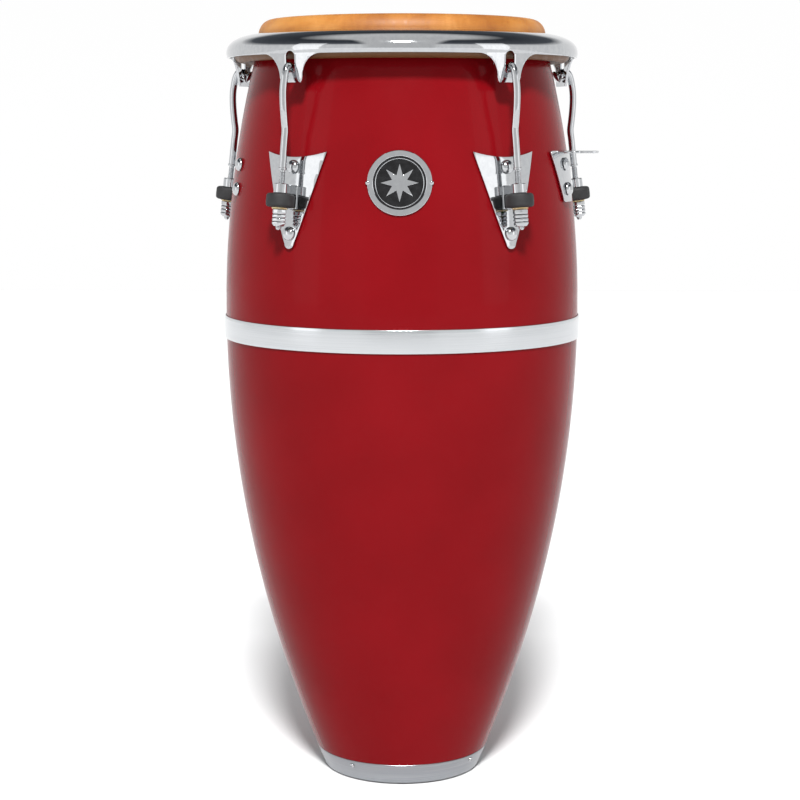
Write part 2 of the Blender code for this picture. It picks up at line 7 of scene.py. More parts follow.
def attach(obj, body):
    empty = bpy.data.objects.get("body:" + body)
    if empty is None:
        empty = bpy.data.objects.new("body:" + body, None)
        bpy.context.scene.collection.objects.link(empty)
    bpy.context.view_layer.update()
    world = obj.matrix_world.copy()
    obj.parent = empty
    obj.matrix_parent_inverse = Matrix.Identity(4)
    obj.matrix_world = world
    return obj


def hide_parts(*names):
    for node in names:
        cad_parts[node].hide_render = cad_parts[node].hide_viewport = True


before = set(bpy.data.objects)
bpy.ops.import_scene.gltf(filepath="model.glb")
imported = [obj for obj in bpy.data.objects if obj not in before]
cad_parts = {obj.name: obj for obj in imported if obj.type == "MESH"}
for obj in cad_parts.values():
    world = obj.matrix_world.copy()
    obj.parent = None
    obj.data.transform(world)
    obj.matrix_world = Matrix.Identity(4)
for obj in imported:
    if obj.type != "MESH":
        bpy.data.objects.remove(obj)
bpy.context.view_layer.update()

mm = 0.001

# sizes shared by many pieces, in millimetres; degrees run from the badge at the front towards +X
drum = {
    "bellyRadius": 176.8,
    "bellyHeight": 470,
    "lowerCurve": 0.000444,
    "upperCurve": 0.000495,
    "wall": 11,
    "lugAngles": (-36, 36, 108, 180, -108),
    "bracketAngle": 70,
    "rodTilt": 7,
    "rodTopRadius": 181.8,
    "rodTopHeight": 641,
}


def shellCurve(z):
    return drum["upperCurve"] if z > drum["bellyHeight"] else drum["lowerCurve"]


def shellRadius(z):
    return drum["bellyRadius"] - shellCurve(z) * (z - drum["bellyHeight"]) ** 2


def shellSlope(z):
    return math.atan(2 * shellCurve(z) * (z - drum["bellyHeight"]))


def rodRadius(z):
    return drum["rodTopRadius"] + (drum["rodTopHeight"] - z) * math.tan(math.radians(drum["rodTilt"]))


def spaced(low, high, count):
    return [low + (high - low) * i / count for i in range(count + 1)]


def arc(cx, cz, rx, rz, start, end, count):
    turns = [math.radians(a) for a in spaced(start, end, count)]
    return [(cx + rx * math.cos(t), cz + rz * math.sin(t)) for t in turns]


def clearSelection():
    if bpy.context.object and bpy.context.object.mode != "OBJECT":
        bpy.ops.object.mode_set(mode="OBJECT")
    bpy.ops.object.select_all(action="DESELECT")


def pick(*pieces):
    clearSelection()
    for piece in pieces:
        piece.select_set(True)
    bpy.context.view_layer.objects.active = pieces[0]


def drawLine(name, points):
    # a plane shrunk to one vertex, then extruded from point to point; points are in millimetres
    clearSelection()
    path = [Vector(p) * mm for p in points]
    bpy.ops.mesh.primitive_plane_add(size=mm, location=path[0])
    piece = bpy.context.object
    piece.name = name
    bpy.ops.object.transform_apply(location=True)
    bpy.ops.object.mode_set(mode="EDIT")
    bpy.ops.mesh.merge(type="CENTER")
    for a, b in zip(path, path[1:]):
        bpy.ops.mesh.extrude_vertices_move(TRANSFORM_OT_translate={"value": b - a})
    bpy.ops.mesh.select_all(action="SELECT")
    return piece


def mergeAndFaceOut():
    bpy.ops.mesh.select_all(action="SELECT")
    bpy.ops.mesh.remove_doubles(threshold=0.004 * mm)
    bpy.ops.mesh.normals_make_consistent(inside=False)
    bpy.ops.object.mode_set(mode="OBJECT")


def spinOutline(name, outline, steps, closed=True):
    # outline is (radius, height); a closed one goes back to its first point
    points = [(r, 0, z) for r, z in outline] + ([(outline[0][0], 0, outline[0][1])] if closed else [])
    piece = drawLine(name, points)
    bpy.ops.mesh.spin(steps=steps, angle=math.tau, center=(0, 0, 0), axis=(0, 0, 1))
    mergeAndFaceOut()
    return piece


def softenEdges(piece, width, segments=3, limit=38):
    pick(piece)
    bevel = piece.modifiers.new("soften", "BEVEL")
    bevel.width = width * mm
    bevel.segments = segments
    bevel.limit_method = "ANGLE"
    bevel.angle_limit = math.radians(limit)
    bevel.use_clamp_overlap = True
    bevel.harden_normals = False
    bpy.ops.object.modifier_apply(modifier=bevel.name)


def cutWith(piece, cutter):
    pick(piece)
    cut = piece.modifiers.new("cut", "BOOLEAN")
    cut.operation = "DIFFERENCE"
    cut.solver = "EXACT"
    cut.object = cutter
    bpy.ops.object.modifier_apply(modifier=cut.name)
    bpy.data.objects.remove(cutter, do_unlink=True)


def joinPieces(*pieces):
    pick(*pieces)
    bpy.ops.object.join()
    return bpy.context.object


def settle(piece, place):
    # the place goes into the mesh, and the object stays at the origin
    pick(piece)
    piece.matrix_world = place
    bpy.ops.object.transform_apply(location=True, rotation=True, scale=True)


def smooth(piece, angle=35):
    pick(piece)
    bpy.ops.object.shade_smooth_by_angle(angle=math.radians(angle))


def plateFromOutline(name, outline, thickness, columns, rows):
    # a flat plate lying against the YZ plane, cut up finely enough to follow the shell
    piece = drawLine(name, [(0, y, z) for y, z in outline] + [(0, outline[0][0], outline[0][1])])
    bpy.ops.mesh.remove_doubles(threshold=0.004 * mm)
    bpy.ops.mesh.edge_face_add()
    for y in columns:
        bpy.ops.mesh.select_all(action="SELECT")
        bpy.ops.mesh.bisect(plane_co=(0, y * mm, 0), plane_no=(0, 1, 0))
    for z in rows:
        bpy.ops.mesh.select_all(action="SELECT")
        bpy.ops.mesh.bisect(plane_co=(0, 0, z * mm), plane_no=(0, 0, 1))
    bpy.ops.mesh.select_all(action="SELECT")
    bpy.ops.mesh.extrude_region_move(TRANSFORM_OT_translate={"value": (thickness * mm, 0, 0)})
    mergeAndFaceOut()
    return piece


def layOnShell(piece, standoff):
    # x becomes the distance off the shell and y the distance round it
    for v in piece.data.vertices:
        z = v.co.z / mm
        r = shellRadius(z)
        turn = v.co.y / mm / r
        slope = shellSlope(z)
        out = v.co.x / mm + standoff
        reach = r + out * math.cos(slope)
        v.co = Vector((reach * math.cos(turn), reach * math.sin(turn), z + out * math.sin(slope))) * mm
    piece.data.update()


def onShellFrame(z):
    # z axis along the shell's outward normal at that height
    spot = Vector((shellRadius(z), 0, z)) * mm
    return Matrix.Translation(spot) @ Matrix.Rotation(math.pi / 2 - shellSlope(z), 4, "Y")


def onRodFrame(z):
    tilt = Matrix.Rotation(-math.radians(drum["rodTilt"]), 4, "Y")
    return Matrix.Translation(Vector((rodRadius(z), 0, z)) * mm) @ tilt


def turnTo(angle):
    return Matrix.Rotation(math.radians(angle - 90), 4, "Z")


def copyRound(source, name, angles):
    # one copy with its own mesh at each angle; the pattern piece is removed
    made = []
    for number, angle in enumerate(angles, 1):
        piece = source.copy()
        piece.data = source.data.copy()
        piece.name = f"{name}{number}"
        bpy.context.scene.collection.objects.link(piece)
        settle(piece, turnTo(angle))
        made.append(piece)
    bpy.data.objects.remove(source, do_unlink=True)
    return made


def handOver(piece, body, nodes, slotName, *materials):
    piece.data.materials.clear()
    for material in materials:
        piece.data.materials.append(material)
    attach(piece, body)
    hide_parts(*nodes)


def toLinear(text):
    values = [int(text[i:i + 2], 16) / 255 for i in (0, 2, 4)]
    return tuple(v / 12.92 if v <= 0.04045 else ((v + 0.055) / 1.055) ** 2.4 for v in values) + (1.0,)


def addNode(tree, kind, settings=None, links=None, stops=None):
    # settings are the node's own properties or its input values; links go input name -> output socket;
    # stops are a color ramp's (position, hex) pairs
    node = tree.nodes.new(kind)
    for key, value in (settings or {}).items():
        if isinstance(key, int) or key in node.inputs:
            node.inputs[key].default_value = value
        else:
            setattr(node, key, value)
    for key, socket in (links or {}).items():
        tree.links.new(socket, node.inputs[key])
    if stops:
        elements = node.color_ramp.elements
        elements[0].position, elements[0].color = stops[0][0], toLinear(stops[0][1])
        elements[1].position, elements[1].color = stops[-1][0], toLinear(stops[-1][1])
        for spot, color in stops[1:-1]:
            elements.new(spot).color = toLinear(color)
    return node


def newMaterial(name, values):
    material = bpy.data.materials.new(name)
    material.use_nodes = True
    tree = material.node_tree
    shader = tree.nodes["Principled BSDF"]
    for key, value in values.items():
        shader.inputs[key].default_value = value
    place = addNode(tree, "ShaderNodeTexCoord").outputs["Object"]
    return material, tree, shader, place


# Sprayed lacquer over a wooden stave shell: deep even red, buffed, with a faint orange peel
lacquerLook = {"deep": "6A070D", "full": "720910", "peel": 2.4, "haze": 90}
lacquer, tree, shader, place = newMaterial("redLacquerBuffed", {
    "Roughness": 0.2, "Specular IOR Level": 0.04, "Coat Weight": 0.06, "Coat Roughness": 0.04, "IOR": 1.5})
cloud = addNode(tree, "ShaderNodeTexNoise", {"Scale": 1000 / lacquerLook["haze"], "Detail": 3.0},
                {"Vector": place})
stops = ((0.3, lacquerLook["deep"]), (0.7, lacquerLook["full"]))
tones = addNode(tree, "ShaderNodeValToRGB", None, {"Fac": cloud.outputs["Fac"]}, stops)
tree.links.new(tones.outputs["Color"], shader.inputs["Base Color"])
rub = addNode(tree, "ShaderNodeTexNoise", {"Scale": 60.0, "Detail": 6.0, "Roughness": 0.7},
              {"Vector": place})
rubRange = addNode(tree, "ShaderNodeMapRange",
                   {"From Min": 0.3, "From Max": 0.75, "To Min": 0.16, "To Max": 0.26},
                   {"Value": rub.outputs["Fac"]})
tree.links.new(rubRange.outputs["Result"], shader.inputs["Roughness"])
peel = addNode(tree, "ShaderNodeTexNoise", {"Scale": 1000 / lacquerLook["peel"], "Detail": 1.5},
               {"Vector": place})
bump = addNode(tree, "ShaderNodeBump", {"Strength": 0.035, "Distance": 0.00008},
               {"Height": peel.outputs["Fac"]})
tree.links.new(bump.outputs["Normal"], shader.inputs["Normal"])
tree.links.new(bump.outputs["Normal"], shader.inputs["Coat Normal"])

# Siam oak staves, sawn and left bare inside: pale brown bands of slightly different tone with long grain
staves = {"count": 20, "light": "B98A58", "dark": "8A5C33", "line": "3E2614", "grain": 1.1}
bareWood, tree, shader, place = newMaterial("bareOakStaves", {"Roughness": 0.72, "IOR": 1.48})
split = addNode(tree, "ShaderNodeSeparateXYZ", {}, {"Vector": place})
turn = addNode(tree, "ShaderNodeMath", {"operation": "ARCTAN2"},
               {0: split.outputs["Y"], 1: split.outputs["X"]})
count = addNode(tree, "ShaderNodeMath", {"operation": "MULTIPLY", 1: staves["count"] / math.tau},
                {0: turn.outputs[0]})
index = addNode(tree, "ShaderNodeMath", {"operation": "FLOOR"}, {0: count.outputs[0]})
share = addNode(tree, "ShaderNodeMath", {"operation": "FRACT"}, {0: count.outputs[0]})
tone = addNode(tree, "ShaderNodeTexWhiteNoise", {"noise_dimensions": "1D"}, {"W": index.outputs[0]})
along = addNode(tree, "ShaderNodeMapping", {"Scale": (1, 1, 0.06)}, {"Vector": place})
grain = addNode(tree, "ShaderNodeTexNoise",
                {"Scale": 1000 / staves["grain"] / 4, "Detail": 6.0, "Distortion": 0.6},
                {"Vector": along.outputs["Vector"]})
blend = addNode(tree, "ShaderNodeMath", {"operation": "MULTIPLY_ADD", 1: 0.35},
                {0: tone.outputs["Value"], 2: grain.outputs["Fac"]})
stops = ((0.35, staves["dark"]), (0.95, staves["light"]))
woodColor = addNode(tree, "ShaderNodeValToRGB", None, {"Fac": blend.outputs[0]}, stops).outputs["Color"]
fromMiddle = addNode(tree, "ShaderNodeMath", {"operation": "PINGPONG", 1: 0.5}, {0: share.outputs[0]})
seam = addNode(tree, "ShaderNodeMapRange", {"From Min": 0.0, "From Max": 0.012},
               {"Value": fromMiddle.outputs[0]})
jointed = addNode(tree, "ShaderNodeMix", {"data_type": "RGBA"},
                  {"Factor": seam.outputs["Result"], 7: woodColor})
jointed.inputs[6].default_value = toLinear(staves["line"])
tree.links.new(jointed.outputs[2], shader.inputs["Base Color"])
bump = addNode(tree, "ShaderNodeBump", {"Strength": 0.4, "Distance": 0.0004},
               {"Height": grain.outputs["Fac"]})
tree.links.new(bump.outputs["Normal"], shader.inputs["Normal"])

# Chrome plate on pressed steel: bright cool mirror with buffing haze and a very shallow ripple
chromeLook = {"bright": "C2C4C6", "dull": "BABCBF", "ripple": 14, "haze": 5}
chrome, tree, shader, place = newMaterial("chromePlatePolished", {"Metallic": 1.0, "Roughness": 0.06})
haze = addNode(tree, "ShaderNodeTexNoise",
               {"Scale": 1000 / chromeLook["haze"], "Detail": 5.0, "Roughness": 0.65},
               {"Vector": place})
stops = ((0.35, chromeLook["dull"]), (0.65, chromeLook["bright"]))
tones = addNode(tree, "ShaderNodeValToRGB", None, {"Fac": haze.outputs["Fac"]}, stops)
tree.links.new(tones.outputs["Color"], shader.inputs["Base Color"])
hazeRange = addNode(tree, "ShaderNodeMapRange",
                    {"From Min": 0.3, "From Max": 0.75, "To Min": 0.04, "To Max": 0.09},
                    {"Value": haze.outputs["Fac"]})
tree.links.new(hazeRange.outputs["Result"], shader.inputs["Roughness"])
ripple = addNode(tree, "ShaderNodeTexNoise", {"Scale": 1000 / chromeLook["ripple"], "Detail": 2.0},
                 {"Vector": place})
bump = addNode(tree, "ShaderNodeBump", {"Strength": 0.05, "Distance": 0.0004},
               {"Height": ripple.outputs["Fac"]})
tree.links.new(bump.outputs["Normal"], shader.inputs["Normal"])


def brushedMetal(name, light, dark, low, high, line, depth):
    # polishing lines run round the drum, so the pattern is stretched along x and y and tight in z
    material, tree, shader, place = newMaterial(name, {"Metallic": 1.0, "Roughness": (low + high) / 2})
    tight = addNode(tree, "ShaderNodeMapping", {"Scale": (6, 6, 1000 / line)}, {"Vector": place})
    lines = addNode(tree, "ShaderNodeTexNoise", {"Scale": 1.0, "Detail": 5.0, "Roughness": 0.7},
                    {"Vector": tight.outputs["Vector"]})
    stops = ((0.3, dark), (0.7, light))
    tones = addNode(tree, "ShaderNodeValToRGB", None, {"Fac": lines.outputs["Fac"]}, stops)
    tree.links.new(tones.outputs["Color"], shader.inputs["Base Color"])
    rough = addNode(tree, "ShaderNodeMapRange",
                    {"From Min": 0.3, "From Max": 0.7, "To Min": low, "To Max": high},
                    {"Value": lines.outputs["Fac"]})
    tree.links.new(rough.outputs["Result"], shader.inputs["Roughness"])
    bump = addNode(tree, "ShaderNodeBump", {"Strength": depth, "Distance": 0.0001},
                   {"Height": lines.outputs["Fac"]})
    tree.links.new(bump.outputs["Normal"], shader.inputs["Normal"])
    return material


# Stainless strip polished on a belt: near mirror, with lines 0.9 mm apart round the drum so that they show
bandSteel = brushedMetal("stainlessStripPolished", "D2D4D6", "C0C3C6", 0.14, 0.24, 0.9, 0.08)
# Spun aluminium, left satin: softer and greyer, with wider turning lines
spunAluminium = brushedMetal("aluminiumSpunSatin", "A2A4A8", "8A8D91", 0.26, 0.4, 1.6, 0.2)
# Mild steel rod, zinc plated: grey, dull, with rolling lines
hoopSteel = brushedMetal("steelRodZincPlated", "8F9296", "75787C", 0.34, 0.5, 2.0, 0.25)

# Rawhide, scraped and dried on its hoop: amber, waxy, cloudy, with fibre streaks and pores; the tucked part below
# the rim carries painted shade
hideLook = {
    "pale": "B98040", "amber": "A66A2A", "brown": "8F541E", "tucked": "5C3A1A", "cloud": 55, "fibre": 2.2,
    "pore": 1.0, "darkBelow": 0.724, "paleAbove": 0.738,
}
rawhide, tree, shader, place = newMaterial("rawhideScraped", {
    "Roughness": 0.5, "IOR": 1.5, "Specular IOR Level": 0.4,
    "Subsurface Weight": 0.08, "Subsurface Scale": 0.002})
shader.inputs["Subsurface Radius"].default_value = (1.0, 0.45, 0.2)
cloud = addNode(tree, "ShaderNodeTexNoise",
                {"Scale": 1000 / hideLook["cloud"], "Detail": 4.0, "Distortion": 0.8},
                {"Vector": place})
fibreMap = addNode(tree, "ShaderNodeMapping", {"Scale": (1.0, 0.18, 0.3), "Rotation": (0, 0, 0.5)},
                   {"Vector": place})
fibre = addNode(tree, "ShaderNodeTexNoise",
                {"Scale": 1000 / hideLook["fibre"] / 2, "Detail": 5.0, "Distortion": 1.2},
                {"Vector": fibreMap.outputs["Vector"]})
pore = addNode(tree, "ShaderNodeTexVoronoi", {"Scale": 1000 / hideLook["pore"] / 2}, {"Vector": place})
mixed = addNode(tree, "ShaderNodeMath", {"operation": "MULTIPLY_ADD", 1: 0.2},
                {0: fibre.outputs["Fac"], 2: cloud.outputs["Fac"]})
hideStops = ((0.35, hideLook["brown"]), (0.58, hideLook["amber"]), (0.82, hideLook["pale"]))
hideColor = addNode(tree, "ShaderNodeValToRGB", None, {"Fac": mixed.outputs[0]}, hideStops)
# the tucked part below the rim is painted darker: painted shade where the rim shadows it, together with the darker
# unscraped hide of the tuck
split = addNode(tree, "ShaderNodeSeparateXYZ", None, {"Vector": place})
litScrapedMask = addNode(tree, "ShaderNodeMapRange",
                  {"From Min": hideLook["darkBelow"], "From Max": hideLook["paleAbove"]},
                  {"Value": split.outputs["Z"]})
hideTones = addNode(tree, "ShaderNodeMix", {"data_type": "RGBA", 6: toLinear(hideLook["tucked"])},
                    {"Factor": litScrapedMask.outputs["Result"], 7: hideColor.outputs["Color"]})
tree.links.new(hideTones.outputs[2], shader.inputs["Base Color"])
rough = addNode(tree, "ShaderNodeMapRange",
                {"From Min": 0.3, "From Max": 0.7, "To Min": 0.42, "To Max": 0.6},
                {"Value": fibre.outputs["Fac"]})
tree.links.new(rough.outputs["Result"], shader.inputs["Roughness"])
height = addNode(tree, "ShaderNodeMath", {"operation": "MULTIPLY_ADD", 1: 0.5},
                 {0: pore.outputs["Distance"], 2: fibre.outputs["Fac"]})
bump = addNode(tree, "ShaderNodeBump", {"Strength": 0.25, "Distance": 0.0003},
               {"Height": height.outputs[0]})
tree.links.new(bump.outputs["Normal"], shader.inputs["Normal"])

# Moulded rubber: matt near-black with a fine tool texture and a little grey bloom
rubber, tree, shader, place = newMaterial("rubberMouldedBlack", {
    "Roughness": 0.7, "IOR": 1.52, "Specular IOR Level": 0.35})
grit = addNode(tree, "ShaderNodeTexNoise", {"Scale": 900.0, "Detail": 3.0}, {"Vector": place})
bloom = addNode(tree, "ShaderNodeTexNoise", {"Scale": 120.0, "Detail": 4.0}, {"Vector": place})
stops = ((0.35, "1B1B1C"), (0.75, "2C2C2D"))
tones = addNode(tree, "ShaderNodeValToRGB", None, {"Fac": bloom.outputs["Fac"]}, stops)
tree.links.new(tones.outputs["Color"], shader.inputs["Base Color"])
rough = addNode(tree, "ShaderNodeMapRange",
                {"From Min": 0.3, "From Max": 0.7, "To Min": 0.55, "To Max": 0.8},
                {"Value": bloom.outputs["Fac"]})
tree.links.new(rough.outputs["Result"], shader.inputs["Roughness"])
bump = addNode(tree, "ShaderNodeBump", {"Strength": 0.35, "Distance": 0.00025},
               {"Height": grit.outputs["Fac"]})
tree.links.new(bump.outputs["Normal"], shader.inputs["Normal"])

# Nylon washer, punched from sheet: cream, slightly waxy, yellowed in patches
nylon, tree, shader, place = newMaterial("nylonPunchedCream", {
    "Roughness": 0.42, "IOR": 1.53, "Subsurface Weight": 0.1, "Subsurface Scale": 0.001})
aged = addNode(tree, "ShaderNodeTexNoise", {"Scale": 260.0, "Detail": 4.0}, {"Vector": place})
stops = ((0.35, "C9AE74"), (0.7, "E6D6AC"))
tones = addNode(tree, "ShaderNodeValToRGB", None, {"Fac": aged.outputs["Fac"]}, stops)
tree.links.new(tones.outputs["Color"], shader.inputs["Base Color"])
bump = addNode(tree, "ShaderNodeBump", {"Strength": 0.2, "Distance": 0.0001},
               {"Height": aged.outputs["Fac"]})
tree.links.new(bump.outputs["Normal"], shader.inputs["Normal"])

# Stove enamel poured in the badge: black glass with a faint pit and swirl
enamel, tree, shader, place = newMaterial("enamelPouredBlack", {
    "Roughness": 0.16, "IOR": 1.5, "Specular IOR Level": 0.3})
swirl = addNode(tree, "ShaderNodeTexNoise", {"Scale": 220.0, "Detail": 4.0}, {"Vector": place})
stops = ((0.3, "0C0C0D"), (0.75, "18181A"))
tones = addNode(tree, "ShaderNodeValToRGB", None, {"Fac": swirl.outputs["Fac"]}, stops)
tree.links.new(tones.outputs["Color"], shader.inputs["Base Color"])
rough = addNode(tree, "ShaderNodeMapRange",
                {"From Min": 0.3, "From Max": 0.7, "To Min": 0.1, "To Max": 0.24},
                {"Value": swirl.outputs["Fac"]})
tree.links.new(rough.outputs["Result"], shader.inputs["Roughness"])
print("conga: materials ready")


shellSizes = {
    "bottom": 6.3, "tuck": 22.3, "ringGap": 0.3, "edgeStart": 742.5, "crestRadius": 129, "crest": 755.5,
    "inner": 125.5, "innerTop": 736.5, "innerLow": 22, "sideTop": 742, "bareTop": 750, "bareDepth": 5,
}
ring = {"low": 1.0, "high": 22.0, "proud": 0.3, "thickness": 1.8}


def edgeArc(offset, count):
    # the rounded bearing edge, from the shell's side up to its crest
    across = shellRadius(shellSizes["edgeStart"]) - shellSizes["crestRadius"] + offset
    up = shellSizes["crest"] - shellSizes["edgeStart"] + offset
    return arc(shellSizes["crestRadius"], shellSizes["edgeStart"], across, up, 0, 90, count)


def ringInside(z):
    return shellRadius(z) + ring["proud"] - ring["thickness"]


outline = [(ringInside(z) - shellSizes["ringGap"], z)
           for z in spaced(shellSizes["bottom"], shellSizes["tuck"], 2)]
outline += [(shellRadius(z), z) for z in spaced(shellSizes["tuck"], shellSizes["edgeStart"], 60)[:-1]]
outline += edgeArc(0, 8)
outline += [(shellSizes["inner"], shellSizes["crest"] - 2)]
outline += [(shellRadius(z) - drum["wall"], z)
            for z in spaced(shellSizes["innerTop"], shellSizes["innerLow"], 36)]
outline += [(shellRadius(shellSizes["innerLow"]) - drum["wall"], shellSizes["bottom"])]
shell = spinOutline("shellStaves", outline, 180)
smooth(shell, 30)
handOver(shell, "shell", ["shell"], "red_lacquer", lacquer, bareWood)
# the inner wall keeps its bare wood
for face in shell.data.polygons:
    middle = face.center / mm
    sideRadius = shellRadius(min(middle.z, shellSizes["sideTop"]))
    inside = Vector((middle.x, middle.y)).length < sideRadius - shellSizes["bareDepth"]
    face.material_index = 1 if inside and middle.z < shellSizes["bareTop"] else 0
print("conga: shell turned")


band = {
    "low": 444.8, "high": 467.2, "inner": 177.1, "outer": 178.2, "crown": 0.15, "lapHalf": 9, "lapInset": 0.2,
    "lapThick": 0.6, "rivetsAcross": (-5, 5), "rivetsUp": (450.5, 461.5),
    "rivetRadius": 1.9, "rivetDome": 0.8,
}
outline = [(band["inner"], band["low"]), (band["outer"], band["low"])]
outline += [(band["outer"] + band["crown"], z) for z in spaced(band["low"] + 3, band["high"] - 3, 2)]
outline += [(band["outer"], band["high"]), (band["inner"], band["high"])]
bellyBand = spinOutline("bellyBandStrip", outline, 180)
softenEdges(bellyBand, 0.45, 3, 50)
half = band["lapHalf"]
low, high = band["low"] + band["lapInset"], band["high"] - band["lapInset"]
outline = [(-half, low), (half, low), (half, high), (-half, high)]
lap = plateFromOutline("bandLap", outline, band["lapThick"], (-6, -3, 0, 3, 6), ())
softenEdges(lap, 0.25, 2)
for v in lap.data.vertices:
    reach = band["outer"] + band["crown"] - 0.1 + v.co.x / mm
    turn = v.co.y / mm / reach
    v.co = Vector((reach * math.cos(turn), reach * math.sin(turn), v.co.z / mm)) * mm
rivets = []
for y in band["rivetsAcross"]:
    for z in band["rivetsUp"]:
        dome = arc(0, 0, band["rivetRadius"], band["rivetDome"], 0, 90, 4)
        rivet = spinOutline("rivet", dome + [(0, -0.6), (band["rivetRadius"], -0.6)], 16)
        spot = Vector((band["outer"] + band["lapThick"], y, z)) * mm
        settle(rivet, Matrix.Translation(spot) @ Matrix.Rotation(math.pi / 2, 4, "Y"))
        rivets.append(rivet)
lap = joinPieces(lap, *rivets)
settle(lap, turnTo(180))
bellyBand = joinPieces(bellyBand, lap)
smooth(bellyBand, 30)
handOver(bellyBand, "shell", ["belly_band"], "chrome", bandSteel)

outline = [(shellRadius(z) + ring["proud"], z) for z in spaced(ring["low"], ring["high"], 5)]
outline += [(ringInside(z), z) for z in spaced(ring["high"], ring["low"], 2)]
bottomRing = spinOutline("bottomRingSpun", outline, 144)
softenEdges(bottomRing, 0.55, 3, 50)
smooth(bottomRing, 30)
handOver(bottomRing, "shell", ["bottom_ring"], "satin_aluminium", spunAluminium)

foot = {
    "inner": 64.0, "outer": 76.9, "height": 6.0, "slope": 0.8, "groove": 0.7, "grooves": (67.4, 70.4, 73.4),
}
side = foot["outer"] - 0.05
outline = [(side, foot["slope"]), (side, foot["height"])]
outline += [(foot["inner"], foot["height"]), (foot["inner"], foot["slope"])]
outline += [(foot["inner"] + foot["slope"], 0)]
for r in foot["grooves"]:
    outline += [(r - 0.7, 0), (r - 0.4, foot["groove"]), (r + 0.4, foot["groove"]), (r + 0.7, 0)]
outline += [(foot["outer"] - 0.85, 0)]
rubberFoot = spinOutline("footRingMoulded", outline, 120)
smooth(rubberFoot, 30)
handOver(rubberFoot, "shell", ["rubber_foot"], "black_rubber", rubber)
print("conga: bands and foot made")


head = {
    "hide": 1.8, "gap": 0.3, "hoopRadius": 158.5, "hoopHeight": 723.5, "section": 5.5,
    "flat": (30, 60, 90, 112), "tuckEnd": 352,
}
near = head["section"] + head["gap"]
far = near + head["hide"]
top = edgeArc(head["gap"] + head["hide"], 12)
under = edgeArc(head["gap"], 12)
outline = [(0, top[-1][1])] + [(r, top[-1][1]) for r in head["flat"]] + top[::-1]
outline += arc(head["hoopRadius"], head["hoopHeight"], near, near, 180, head["tuckEnd"], 16)
# the hide's cut edge is rounded by one point past the end of the tuck
halfway = (near + far) / 2
past = math.radians(head["tuckEnd"]) + 0.12
outline += [(head["hoopRadius"] + halfway * math.cos(past), head["hoopHeight"] + halfway * math.sin(past))]
outline += arc(head["hoopRadius"], head["hoopHeight"], far, far, head["tuckEnd"], 180, 16)
outline += under + [(r, under[-1][1]) for r in (112, 60, 0)]
drumHead = spinOutline("headRawhide", outline, 144, closed=False)
smooth(drumHead, 40)
handOver(drumHead, "crown", ["drum_head"], "rawhide", rawhide)

section = head["section"] - 0.1
outline = arc(head["hoopRadius"], head["hoopHeight"], section, section, 0, 345, 23)
fleshHoop = spinOutline("fleshHoopRod", outline, 144)
smooth(fleshHoop, 60)
handOver(fleshHoop, "crown", ["flesh_hoop"], "hoop_steel", hoopSteel)
print("conga: head tucked")


rim = {
    "lip": 720.5, "earBottom": 694, "earHalf": 12.5, "filletWide": 20.5, "filletHigh": 22, "lean": 1.4,
    "slotWide": 10.5, "slotLow": 703, "slotHigh": 723, "outer": 173.3, "inner": 170.9, "earPitch": 72,
    "cutLow": 680, "cutFrom": 160, "cutThrough": 20, "slotFrom": 163, "slotThrough": 16,
    "roll": [(173.4, 721.6), (174.0, 724.0), (173.9, 727.0), (172.9, 730.6), (171.0, 733.4), (168.5, 735.9),
             (165.4, 737.8), (161.7, 739.6), (157.5, 741.0), (153.2, 742.1), (149.2, 742.7), (147.3, 742.5),
             (146.7, 741.6), (147.2, 740.3), (149.5, 739.5), (153.6, 739.0), (153.7, 729.4), (157.2, 729.4),
             (157.9, 737.3), (162.6, 735.4), (166.4, 733.0), (169.0, 730.2), (170.5, 727.0), (170.9, 723.5)],
}


def earLean(z):
    drop = max(0, (rim["lip"] - z) / (rim["lip"] - rim["earBottom"]))
    return rim["lean"] * drop * drop


levels = [rim["earBottom"] + 0.01, 697, 700, 704, 708, 712, 716, 719]
outline = [(rim["outer"] - earLean(z), z) for z in levels] + rim["roll"]
outline += [(rim["inner"] - earLean(z), z) for z in reversed(levels)]
rimBody = spinOutline("rimRolled", outline, 300)

# between two ears everything below the lip is cut away, up a hollow curve beside each ear
reach = rim["earHalf"] + 1 + rim["filletWide"]
quarter = [(reach - rim["filletWide"] * math.cos(t), rim["lip"] - rim["filletHigh"] * (1 - math.sin(t)))
           for t in (math.radians(a) for a in spaced(0, 90, 12))]
side = [(rim["earHalf"] - 1.6, rim["earBottom"] - 1), (rim["earHalf"] - 1.0, rim["earBottom"] + 0.35),
        (rim["earHalf"], rim["earBottom"] + 1.6)] + quarter
span = rim["earPitch"] * math.pi / 180 * rim["outer"]
flat = [(s, rim["lip"]) for s in spaced(reach, span - reach, 24)[1:-1]]
topLine = side + flat + [(span - s, z) for s, z in reversed(side)]
for angle in drum["lugAngles"]:
    clearSelection()
    bpy.ops.mesh.primitive_grid_add(x_subdivisions=len(topLine) - 1, y_subdivisions=1, size=1)
    cutter = bpy.context.object
    row = sorted(cutter.data.vertices, key=lambda v: (v.co.y, v.co.x))
    for i, (s, z) in enumerate(topLine):
        row[i].co = (0, s * mm, rim["cutLow"] * mm)
        row[i + len(topLine)].co = (0, s * mm, z * mm)
    bpy.ops.object.mode_set(mode="EDIT")
    bpy.ops.mesh.select_all(action="SELECT")
    bpy.ops.mesh.extrude_region_move(TRANSFORM_OT_translate={"value": (rim["cutThrough"] * mm, 0, 0)})
    mergeAndFaceOut()
    for v in cutter.data.vertices:
        turn = v.co.y / mm / rim["outer"]
        r = rim["cutFrom"] * mm + v.co.x
        v.co = (r * math.cos(turn), r * math.sin(turn), v.co.z)
    settle(cutter, turnTo(angle))
    cutWith(rimBody, cutter)
half = rim["slotWide"] / 2
low = rim["slotLow"]
slotLine = [(-half, low + 1), (-half + 1, low), (half - 1, low), (half, low + 1)]
slotLine += arc(0, rim["slotHigh"] - half, half, half, 0, 180, 14)
